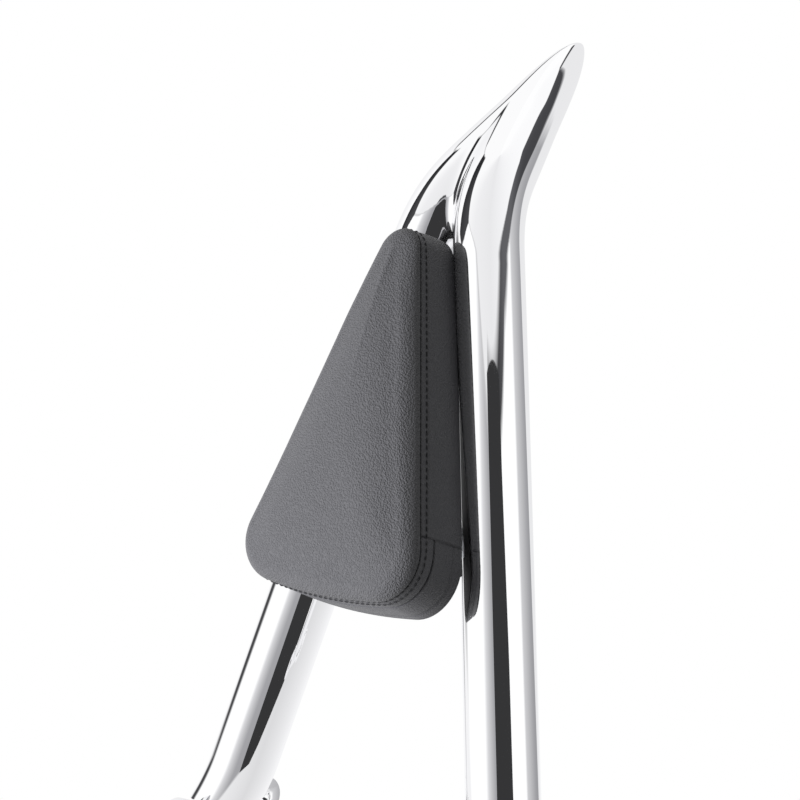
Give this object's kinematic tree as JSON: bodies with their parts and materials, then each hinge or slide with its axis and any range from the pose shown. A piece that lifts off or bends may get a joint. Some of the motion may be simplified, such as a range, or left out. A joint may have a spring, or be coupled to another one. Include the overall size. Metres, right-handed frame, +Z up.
{
  "type": "sissy bar",
  "caption": "Chromed A-shaped motorbike sissy bar with leaning tube legs, a spear tip swept to the rear and a triangular leather back pad.",
  "frame": {"origin": "on the axis of the two rear foot bolts, midway between the feet", "axes": "+X across the bike along the foot bolts, -Y to the rider, +Z up"},
  "size_m": [0.3, 0.2636, 0.5198],
  "materials": {
    "chrome": "mirror-bright chrome plate",
    "leather": "fine-grained black leather",
    "foam": "open-cell foam",
    "plywood": "plain plywood",
    "rear_panel": "matt black",
    "zinc_steel": "bright zinc plate"
  },
  "bodies": {
    "root": {"bar": "chrome", "cover_face": "leather", "cover_gusset": "leather", "cover_bottom": "leather", "foam_core": "foam", "backing_board": "plywood", "rear_panel": "rear_panel", "tee_nuts": "zinc_steel", "spacers": "zinc_steel", "flat_washers": "zinc_steel", "lock_washers": "zinc_steel", "pad_screws": "zinc_steel"}
  },
  "joints": []
}
